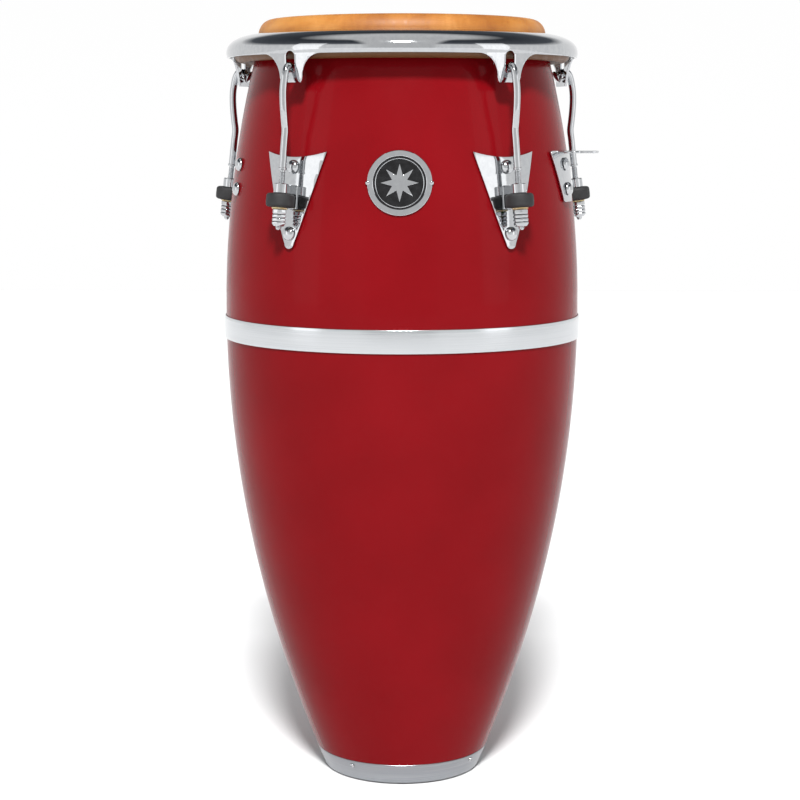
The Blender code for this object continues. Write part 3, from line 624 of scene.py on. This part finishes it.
for angle in drum["lugAngles"]:
    cutter = plateFromOutline("slotCutter", slotLine, rim["slotThrough"], (), ())
    settle(cutter, turnTo(angle) @ Matrix.Translation((rim["slotFrom"] * mm, 0, 0)))
    cutWith(rimBody, cutter)
softenEdges(rimBody, 0.5, 2, 50)
smooth(rimBody, 40)
handOver(rimBody, "crown", ["rim"], "chrome", chrome)
print("conga: rim rolled and cut,", len(rimBody.data.polygons), "faces")


rod = {
    "radius": 3.5, "thread": 3.0, "core": 2.55, "pitch": 1.27, "shoulder": (613.4, 615.6, 4.1), "tip": 558.5,
    "hook": [(166.6, 705.0), (171.5, 708.0), (175.0, 709.0), (178.2, 706.4), (180.2, 702.0), (181.6, 696.0),
             (182.6, 690.0), (183.1, 683.5), (182.8, 672.0), (181.6, 659.0)],
    "straight": (650, 641, 628, 614), "headAt": (164.5, 703.6), "headRadius": 6.2, "headDome": 2.2,
}
clearSelection()
bpy.ops.curve.primitive_bezier_curve_add(radius=1)
line = bpy.context.object
spline = line.data.splines[0]
stops = rod["hook"] + [(rodRadius(z), z) for z in rod["straight"]]
spline.bezier_points.add(len(stops) - 2)
for point, (r, z) in zip(spline.bezier_points, stops):
    point.co = Vector((r, 0, z)) * mm
    point.handle_left_type = point.handle_right_type = "AUTO"
line.data.bevel_depth = rod["radius"] * mm
line.data.bevel_resolution = 6
line.data.resolution_u = 8
line.data.use_fill_caps = True
settle(line, Matrix.Identity(4))
bpy.ops.object.convert(target="MESH")
bar = bpy.context.object

end, bend = rod["hook"][0], rod["hook"][1]
backward = Vector((end[0] - bend[0], 0, end[1] - bend[1])).normalized()
r = rod["headRadius"]
capOutline = [(0, -1.6), (4.0, -1.6), (r - 0.3, -1.2), (r, -0.6), (r, 0.2)]
capOutline += arc(0, 0.2, r, rod["headDome"], 12, 90, 8)
cap = spinOutline("hookHead", capOutline, 28, closed=False)
lean = Vector((0, 0, 1)).rotation_difference(backward).to_matrix().to_4x4()
settle(cap, Matrix.Translation(Vector((rod["headAt"][0], 0, rod["headAt"][1])) * mm) @ lean)

low, high, wide = rod["shoulder"]
outline = [(0, 0), (wide - 0.4, 0), (wide, 0.4), (wide, 1.8), (wide - 0.4, high - low), (0, high - low)]
collar = spinOutline("rodShoulder", outline, 24, closed=False)
settle(collar, onRodFrame(low))
length = (low - rod["tip"]) / math.cos(math.radians(drum["rodTilt"]))
outline = [(0, 0), (1.5, 0), (rod["core"], 1.1), (rod["core"], length), (0, length)]
core = spinOutline("rodCore", outline, 20, closed=False)
settle(core, onRodFrame(rod["tip"]))
turns = int((length - 2) / rod["pitch"])
root, tip = rod["core"] - 0.1, rod["thread"]
ridge = drawLine("rodThread", [(root, 0, 0), (tip, 0, 0.5), (tip, 0, 0.72), (root, 0, 1.22)])
bpy.ops.object.mode_set(mode="OBJECT")
screw = ridge.modifiers.new("thread", "SCREW")
screw.screw_offset = rod["pitch"] * mm
screw.iterations = turns
screw.steps = screw.render_steps = 16
screw.use_normal_calculate = True
bpy.ops.object.modifier_apply(modifier=screw.name)
settle(ridge, onRodFrame(rod["tip"] + 1.2))
tensionRod = joinPieces(bar, cap, collar, core, ridge)
bpy.ops.object.mode_set(mode="EDIT")
mergeAndFaceOut()
smooth(tensionRod, 40)
for number, piece in enumerate(copyRound(tensionRod, "tensionRodBent", drum["lugAngles"]), 1):
    handOver(piece, f"rod_{number}", [f"tension_rod_{number}"], "chrome", chrome)
print("conga: rods bent")


plate = {
    "top": 630, "dip": 5, "tip": 540, "half": 34.6, "tipHalf": 2.8, "bow": 0.86, "thick": 1.8,
    "standoff": 1.2, "bossTop": 601, "bossLow": 592, "bossRadius": 7, "bore": 3.6, "blockHalf": 7.5, "blockDrop": 13,
    "armHalf": 4.6, "bumper": 13.3,
}


def plateEdge(level):
    half = plate["tipHalf"] + (plate["half"] - plate["tipHalf"]) * level ** plate["bow"]
    return half, plate["tip"] + (plate["top"] - plate["tip"]) * level


right = [plateEdge(level) for level in spaced(0.05, 1, 12)]
tipRound = arc(0, right[0][1], right[0][0], right[0][1] - plate["tip"], -90, 0, 6)[:-1]
topEdge = [(plate["half"] * p, plate["top"] - plate["dip"] * (1 - p * p)) for p in spaced(1, -1, 16)[1:-1]]
outline = tipRound + right + topEdge
outline += [(-y, z) for y, z in reversed(right)] + [(-y, z) for y, z in reversed(tipRound[1:])]
sidePlate = plateFromOutline("sidePlate", outline, plate["thick"],
                             spaced(-32, 32, 16), spaced(548, 622, 6))
softenEdges(sidePlate, 0.55, 3, 60)
layOnShell(sidePlate, plate["standoff"])

back = rodRadius(plate["bossLow"]) - shellRadius(plate["bossLow"]) - plate["standoff"] - 1
rise = plate["bossTop"] - plate["bossLow"]


def beveledBox(name, low, high, width):
    clearSelection()
    bpy.ops.mesh.primitive_cube_add(size=1)
    box = bpy.context.object
    box.name = name
    size = Vector(high) - Vector(low)
    settle(box, Matrix.Translation((Vector(high) + Vector(low)) / 2 * mm) @ Matrix.Diagonal((*(size * mm), 1)))
    bpy.ops.object.mode_set(mode="EDIT")
    bpy.ops.mesh.select_all(action="SELECT")
    bpy.ops.mesh.bevel(offset=width * mm, segments=3, affect="EDGES")
    bpy.ops.object.mode_set(mode="OBJECT")
    return box


block = beveledBox("plateBlock", (-back, -plate["blockHalf"], -plate["blockDrop"]),
                   (-plate["bumper"] - 0.5, plate["blockHalf"], rise), 0.7)
arm = beveledBox("plateArm", (-back + 1, -plate["armHalf"], 0.3), (-4, plate["armHalf"], rise - 0.3), 0.5)
r, bore = plate["bossRadius"], plate["bore"]
outline = [(bore + 0.4, 0), (r - 0.5, 0), (r, 0.5), (r, rise - 0.6), (r - 0.6, rise)]
outline += [(bore + 0.6, rise), (bore, rise - 0.6), (bore, 0.4)]
boss = spinOutline("plateBoss", outline, 32)
for part in (block, arm, boss):
    settle(part, onRodFrame(plate["bossLow"]))
sidePlate = joinPieces(sidePlate, block, arm, boss)
smooth(sidePlate, 35)
for number, piece in enumerate(copyRound(sidePlate, "sidePlatePressed", drum["lugAngles"]), 1):
    handOver(piece, "shell", [f"side_plate_{number}"], "chrome", chrome)
print("conga: side plates pressed")


stack = {
    "gap": 0.3, "bore": 3.6, "bumperRadius": 13.3, "bumperHigh": 12.6, "bumperEdge": 2.6, "bumperBulge": 0.12,
    "washerRadius": 7.6, "washerThick": 1.2, "nutRadius": 7.2, "nutHigh": 16, "nutTurn": 8,
    "grooves": (4.6, 8.0, 11.4), "grooveDeep": 0.55,
}
lift = math.cos(math.radians(drum["rodTilt"]))
bore = stack["bore"]
r, h, edge = stack["bumperRadius"], stack["bumperHigh"], stack["bumperEdge"]
outline = [(bore, 0.4), (bore + 0.4, 0), (r - edge, 0)] + arc(r - edge, edge, edge, edge, -90, 0, 6)[1:]
outline += [(r + stack["bumperBulge"], h / 2)] + arc(r - edge, h - edge, edge, edge, 0, 90, 6)
outline += [(bore + 0.4, h), (bore, h - 0.4)]
bumper = spinOutline("bumper", outline, 48)
smooth(bumper, 40)
bumperLow = plate["bossLow"] - (h + stack["gap"]) * lift
settle(bumper, onRodFrame(bumperLow))
for number, piece in enumerate(copyRound(bumper, "bumperRing", drum["lugAngles"]), 1):
    handOver(piece, "shell", [f"bumper_ring_{number}"], "black_rubber", rubber)

r, h = stack["washerRadius"], stack["washerThick"]
outline = [(bore, 0.2), (bore + 0.2, 0), (r - 0.3, 0), (r, 0.3)]
outline += [(r, h - 0.3), (r - 0.3, h), (bore + 0.2, h), (bore, h - 0.2)]
washer = spinOutline("washer", outline, 40)
smooth(washer, 40)
washerLow = bumperLow - (h + stack["gap"]) * lift
settle(washer, onRodFrame(washerLow))
for number, piece in enumerate(copyRound(washer, "nylonWasher", drum["lugAngles"]), 1):
    handOver(piece, "shell", [f"washer_{number}"], "nylon", nylon)


def growRings(name, sides, levels, turned=0.0):
    # a circle extruded level by level and scaled to each new radius, closed at both ends
    clearSelection()
    bpy.ops.mesh.primitive_circle_add(
        vertices=sides, radius=levels[0][0] * mm, location=(0, 0, levels[0][1] * mm),
        rotation=(0, 0, turned), fill_type="NGON")
    piece = bpy.context.object
    piece.name = name
    bpy.ops.object.transform_apply(location=True, rotation=True)
    bpy.ops.object.mode_set(mode="EDIT")
    bpy.ops.mesh.select_all(action="SELECT")
    for (r0, z0), (r1, z1) in zip(levels, levels[1:]):
        bpy.ops.mesh.extrude_region_move(TRANSFORM_OT_translate={"value": (0, 0, (z1 - z0) * mm)})
        bpy.ops.transform.resize(value=(r1 / r0, r1 / r0, 1), center_override=(0, 0, z1 * mm))
    mergeAndFaceOut()
    return piece


r, h = stack["nutRadius"], stack["nutHigh"]
levels = [(r - 2.6, 0), (r - 1.9, 0.3), (r, 2.5)]
floorRadius = r - stack["grooveDeep"]
for z in stack["grooves"]:
    levels += [(r, z - 0.75), (floorRadius, z - 0.3), (floorRadius, z + 0.3), (r, z + 0.75)]
levels += [(r, h - 0.5), (r - 0.5, h)]
nut = growRings("nut", 6, levels, math.radians(stack["nutTurn"]))
softenEdges(nut, 0.35, 2, 25)
smooth(nut, 30)
nutLow = washerLow - (h + stack["gap"]) * lift
settle(nut, onRodFrame(nutLow))
for number, piece in enumerate(copyRound(nut, "lugNutHex", drum["lugAngles"]), 1):
    handOver(piece, f"nut_{number}", [f"lug_nut_{number}"], "chrome", chrome)
print("conga: rod stacks threaded on")


bolt = {
    "head": 6.6, "dome": 4.8, "shank": 2.9, "plateSeat": 3.0, "shellSeat": 0.35, "gap": 0.3, "shankPast": 4.6,
    "nutAcross": 5.2, "nutHigh": 5, "standoff": 1.3,
    "upper": 615.7, "lower": 554, "bracketUpper": 617, "bracketLower": 593.2,
}


def makeBolt(z, under):
    seat = under + bolt["gap"]
    nutFace = -drum["wall"] - bolt["standoff"]
    end = nutFace - bolt["shankPast"]
    edge = [(0, end), (bolt["shank"], end), (bolt["shank"], seat)]
    edge += [(bolt["head"] - 0.3, seat), (bolt["head"], seat + 0.3)]
    edge += arc(0, seat + 0.3, bolt["head"], bolt["dome"] - 0.3, 6, 90, 10)
    body = spinOutline("boltBody", edge, 36, closed=False)
    r, low = bolt["nutAcross"], nutFace - bolt["nutHigh"]
    hexNut = growRings("boltNut", 6, [(r - 0.5, low), (r, low + 0.5), (r, nutFace - 0.5), (r - 0.5, nutFace)])
    piece = joinPieces(body, hexNut)
    smooth(piece, 40)
    settle(piece, onShellFrame(z))
    return piece


for place, name in (("upper", "bolt_upper"), ("lower", "bolt_lower")):
    pattern = makeBolt(bolt[place], bolt["plateSeat"])
    for number, piece in enumerate(copyRound(pattern, f"plateBolt{place.title()}", drum["lugAngles"]), 1):
        handOver(piece, "shell", [f"{name}_{number}"], "chrome", chrome)
# on the left the two bolts sit straight on the shell, with no plate under them
bracketBolts = ((1, "plateSeat", drum["bracketAngle"]), (2, "shellSeat", -drum["bracketAngle"]))
for place in ("Upper", "Lower"):
    for number, under, angle in bracketBolts:
        piece = makeBolt(bolt["bracket" + place], bolt[under])
        piece.name = f"bracketBolt{place}{number}"
        settle(piece, turnTo(angle))
        handOver(piece, "shell", [f"bracket_bolt_{place.lower()}_{number}"], "chrome", chrome)
print("conga: bolts driven")


bracket = {
    "top": 630, "low": 581, "halfTop": 31, "halfLow": 13, "corner": 3, "thick": 1.8,
    "tabReach": 199.4, "tabStep": 183.4, "tabHalf": 15, "tabLow": 628.0, "tabThick": 2.4,
}
low, top, corner = bracket["low"], bracket["top"], bracket["corner"]
half, taper = bracket["halfTop"], bracket["halfTop"] - bracket["halfLow"]
right = arc(bracket["halfLow"] - corner, low + corner, corner, corner, -90, 0, 5)
right += [(bracket["halfLow"] + taper * t, low + corner + (top - low - corner) * t) for t in (0.33, 0.66)]
right += [(half - 0.3, top - 1.6), (half - 0.9, top - 0.4), (half - 2.2, top)]
outline = right + [(-y, z) for y, z in reversed(right)]
standBracket = plateFromOutline("standBracket", outline, bracket["thick"],
                                spaced(-28, 28, 12), spaced(588, 624, 3))
softenEdges(standBracket, 0.55, 3, 60)
layOnShell(standBracket, plate["standoff"])
near = shellRadius(bracket["top"]) + plate["standoff"] + 0.6
half, step, reach = bracket["tabHalf"], bracket["tabStep"], bracket["tabReach"]
tabLine = [(near, -half), (step - 1.5, -half), (step, -half + 1.5), (step, -1.0), (step + 1.0, 0)]
tabLine += [(reach - 2, 0), (reach, 2), (reach, half - 2), (reach - 2, half), (near, half)]
tab = drawLine("bracketTab", [(x, y, bracket["tabLow"]) for x, y in tabLine + tabLine[:1]])
bpy.ops.mesh.remove_doubles(threshold=0.004 * mm)
bpy.ops.mesh.edge_face_add()
bpy.ops.mesh.extrude_region_move(TRANSFORM_OT_translate={"value": (0, 0, bracket["tabThick"] * mm)})
mergeAndFaceOut()
softenEdges(tab, 0.5, 3, 50)
standBracket = joinPieces(standBracket, tab)
smooth(standBracket, 35)
settle(standBracket, turnTo(drum["bracketAngle"]))
handOver(standBracket, "shell", ["stand_bracket"], "chrome", chrome)
print("conga: bracket fitted")


badge = {
    "height": 602, "radius": 29.8, "field": 24.5, "fieldThick": 1.0, "thick": 1.8, "standoff": 0.35,
    "lineOuter": 22.6, "lineInner": 21.9, "lineLow": 0.6, "lineHigh": 1.45,
    "star": 17.5, "starInner": 7.5, "starThick": 1.5, "points": 8, "pinRadius": 2.1, "pinDome": 1.2,
}
outline = arc(0, badge["height"], badge["radius"], badge["radius"], -90, 262.5, 47)
badgePlate = plateFromOutline("badgePlate", outline, badge["fieldThick"],
                              spaced(-26, 26, 13), spaced(578, 626, 6))


def liftRing(name, outer, inner, low, high):
    # a raised ring of the badge, made flat round its own centre
    outline = [(outer, low), (outer, high - 0.3), (outer - 0.4, high)]
    outline += [(inner + 0.4, high), (inner, high - 0.3), (inner, low)]
    raised = spinOutline(name, outline, 96)
    settle(raised, Matrix.Translation((0, 0, badge["height"] * mm)) @ Matrix.Rotation(math.pi / 2, 4, "Y"))
    return raised


ringOuter = liftRing("badgeRing", badge["radius"], badge["field"], 0.0, badge["thick"])
ringInner = liftRing("badgeLine", badge["lineOuter"], badge["lineInner"], badge["lineLow"], badge["lineHigh"])
starPoints = []
for i in range(badge["points"] * 2):
    turn = math.tau * i / (badge["points"] * 2) + math.pi / 2
    r = badge["star"] if i % 2 == 0 else badge["starInner"]
    starPoints.append((r * math.cos(turn), badge["height"] + r * math.sin(turn)))
star = plateFromOutline("badgeStar", starPoints, badge["starThick"], (-12, -6, 0, 6, 12), (596, 602, 608))
softenEdges(star, 0.3, 2, 60)
pins = []
for side in (-1, 1):
    r = badge["pinRadius"]
    outline = [(0, 0), (r, 0), (r, 0.7)] + arc(0, 0.7, r, badge["pinDome"], 10, 90, 5)
    pin = spinOutline("badgePin", outline, 20, closed=False)
    spot = Vector((0.6, side * (badge["radius"] - 0.4), badge["height"])) * mm
    settle(pin, Matrix.Translation(spot) @ Matrix.Rotation(math.pi / 2, 4, "Y"))
    pins.append(pin)
for part in (badgePlate, ringOuter, ringInner, star, *pins):
    part.data.materials.clear()
    part.data.materials.append(enamel if part == badgePlate else chrome)
badgeWhole = joinPieces(badgePlate, ringOuter, ringInner, star, *pins)
layOnShell(badgeWhole, badge["standoff"])
smooth(badgeWhole, 35)
settle(badgeWhole, turnTo(0))
badgeWhole.name = "badgeStarRound"
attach(badgeWhole, "shell")
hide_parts("badge")
print("conga: badge set")


screwSizes = {
    "height": 16.4, "head": 2.3, "dome": 1.2, "shank": 1.3, "end": -6, "seat": 0.6, "slotFloor": 1.25,
    "slotHalf": 0.35, "slotReach": 1.4, "angles": (-35, 55, 145, 235),
}
shank, end, seat = screwSizes["shank"], screwSizes["end"], screwSizes["seat"]
edge = [(0, end), (shank, end + 0.5), (shank, seat), (screwSizes["head"], seat)]
edge += arc(0, seat, screwSizes["head"], screwSizes["dome"], 8, 90, 6)
ringScrew = spinOutline("ringScrew", edge, 24, closed=False)
arms = (screwSizes["slotHalf"], screwSizes["slotReach"])
for wide, long in (arms, arms[::-1]):
    slotCutter = beveledBox("screwSlot", (-wide, -long, screwSizes["slotFloor"]), (wide, long, 3), 0.02)
    cutWith(ringScrew, slotCutter)
smooth(ringScrew, 35)
settle(ringScrew, onShellFrame(screwSizes["height"]))
for number, piece in enumerate(copyRound(ringScrew, "ringScrewCross", screwSizes["angles"]), 1):
    handOver(piece, "shell", [f"ring_screw_{number}"], "chrome", chrome)
print("conga: ring screws in")


# metres, watts and degrees; the yaw turns the camera and the main lamp together
studio = {
    "distance": 2.0, "eye": 0.651, "pitch": 7.77, "yaw": 0.8, "aside": -0.002, "lens": 89.3, "sensor": 36,
    "key": 4.8, "keyRise": 46, "keySpread": 9, "floor": 12, "floorDrop": 0.0005,
    "paper": "E2E2E2", "strip": "E2E2E2",
}
clearSelection()
bpy.ops.mesh.primitive_plane_add(size=studio["floor"], location=(0, 0, -studio["floorDrop"]))
floor = bpy.context.object
floor.name = "studioFloor"
paper, tree, shader, place = newMaterial("paperRollWhite", {
    "Roughness": 0.9, "Base Color": toLinear(studio["paper"])})
floor.data.materials.append(paper)

world = bpy.data.worlds.new("studioRoom")
bpy.context.scene.world = world
world.use_nodes = True
tree = world.node_tree
direction = addNode(tree, "ShaderNodeTexCoord").outputs["Generated"]
split = addNode(tree, "ShaderNodeSeparateXYZ", {}, {"Vector": direction})
# white walls to about 20 degrees above the horizon, a dim ceiling and a pale panel straight above
stops = ((0.0, "FFFFFF"), (0.36, "FAFAFA"), (0.5, "5A5E64"), (0.8, "3C4046"), (0.93, "E8E8E8"))
room = addNode(tree, "ShaderNodeValToRGB", None, {"Fac": split.outputs["Z"]}, stops)
# a pale strip runs from the front up to the ceiling, and shows in the rim's rolled top
aside = addNode(tree, "ShaderNodeMath", {"operation": "ABSOLUTE"}, {0: split.outputs["X"]})
narrow = addNode(tree, "ShaderNodeMapRange", {"From Min": 0.42, "From Max": 0.34},
                 {"Value": aside.outputs[0]})
front = addNode(tree, "ShaderNodeMapRange", {"From Min": 0.05, "From Max": -0.1},
                {"Value": split.outputs["Y"]})
strip = addNode(tree, "ShaderNodeMath", {"operation": "MULTIPLY"},
                {0: narrow.outputs["Result"], 1: front.outputs["Result"]})
walls = addNode(tree, "ShaderNodeMix", {"data_type": "RGBA", 7: toLinear(studio["strip"])},
                {"Factor": strip.outputs[0], 6: room.outputs["Color"]})
back = tree.nodes["Background"]
back.inputs["Strength"].default_value = 1.0
tree.links.new(walls.outputs[2], back.inputs["Color"])


def softbox(name, place, aim, wide, high, watts):
    lamp = bpy.data.objects.new(name, bpy.data.lights.new(name, "AREA"))
    lamp.data.shape = "RECTANGLE"
    lamp.data.size = wide
    lamp.data.size_y = high
    lamp.data.energy = watts
    lamp.location = place
    lamp.rotation_euler = (Vector(aim) - Vector(place)).to_track_quat("-Z", "Y").to_euler()
    bpy.context.scene.collection.objects.link(lamp)


boxes = {"aim": (0, 0, 0.4), "wide": 0.9, "high": 1.8, "watts": 4}
softbox("softboxLeft", (-2.2, -1.2, 1.2), **boxes)
softbox("softboxRight", (2.2, -1.2, 1.2), **boxes)
# the main lamp is far off, in front and above, and wide enough for soft shadow edges
key = bpy.data.objects.new("keyLamp", bpy.data.lights.new("keyLamp", "SUN"))
key.data.energy = studio["key"]
key.data.angle = math.radians(studio["keySpread"])
key.rotation_euler = (math.radians(90 - studio["keyRise"]), 0, math.radians(studio["yaw"]))
bpy.context.scene.collection.objects.link(key)

yaw, pitch = math.radians(studio["yaw"]), math.radians(studio["pitch"])
camera = bpy.data.objects.new("camera", bpy.data.cameras.new("camera"))
bpy.context.scene.collection.objects.link(camera)
camera.data.lens = studio["lens"]
camera.data.sensor_width = studio["sensor"]
camera.data.clip_start = 0.05
across, away = Vector((math.cos(yaw), math.sin(yaw), 0)), Vector((math.sin(yaw), -math.cos(yaw), 0))
camera.location = away * studio["distance"] + across * studio["aside"] + Vector((0, 0, studio["eye"]))
camera.rotation_euler = (math.pi / 2 - pitch, 0, yaw)
bpy.context.scene.camera = camera
bpy.context.scene.view_settings.view_transform = "Standard"
print("conga: studio lit")
